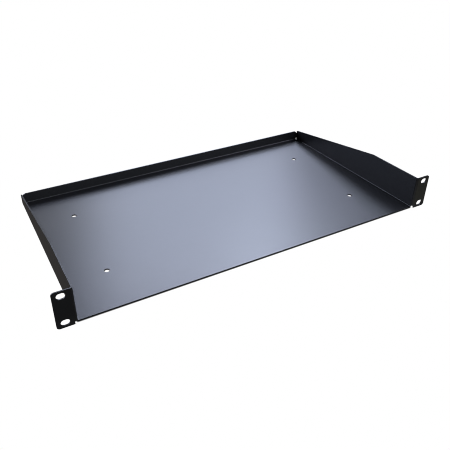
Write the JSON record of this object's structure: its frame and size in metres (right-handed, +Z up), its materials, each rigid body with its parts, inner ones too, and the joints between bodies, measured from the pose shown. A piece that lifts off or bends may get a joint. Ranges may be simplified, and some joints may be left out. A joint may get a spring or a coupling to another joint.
{
  "type": "rack shelf",
  "caption": "Cantilever rack shelf, one rack unit high: one folded steel sheet with a low rear flange, side walls that slope down to the rear, and slotted front ears.",
  "frame": {"origin": "middle of the shelf's width and depth, on the plane of its underside", "axes": "+X across the shelf, to the right seen from the front; +Y from the ears to the rear flange; +Z up"},
  "size_m": [0.4826, 0.254, 0.0437],
  "materials": {
    "powder_coat": "satin black powder coat with a fine texture"
  },
  "bodies": {
    "root": {"shelf": "powder_coat"}
  },
  "joints": []
}
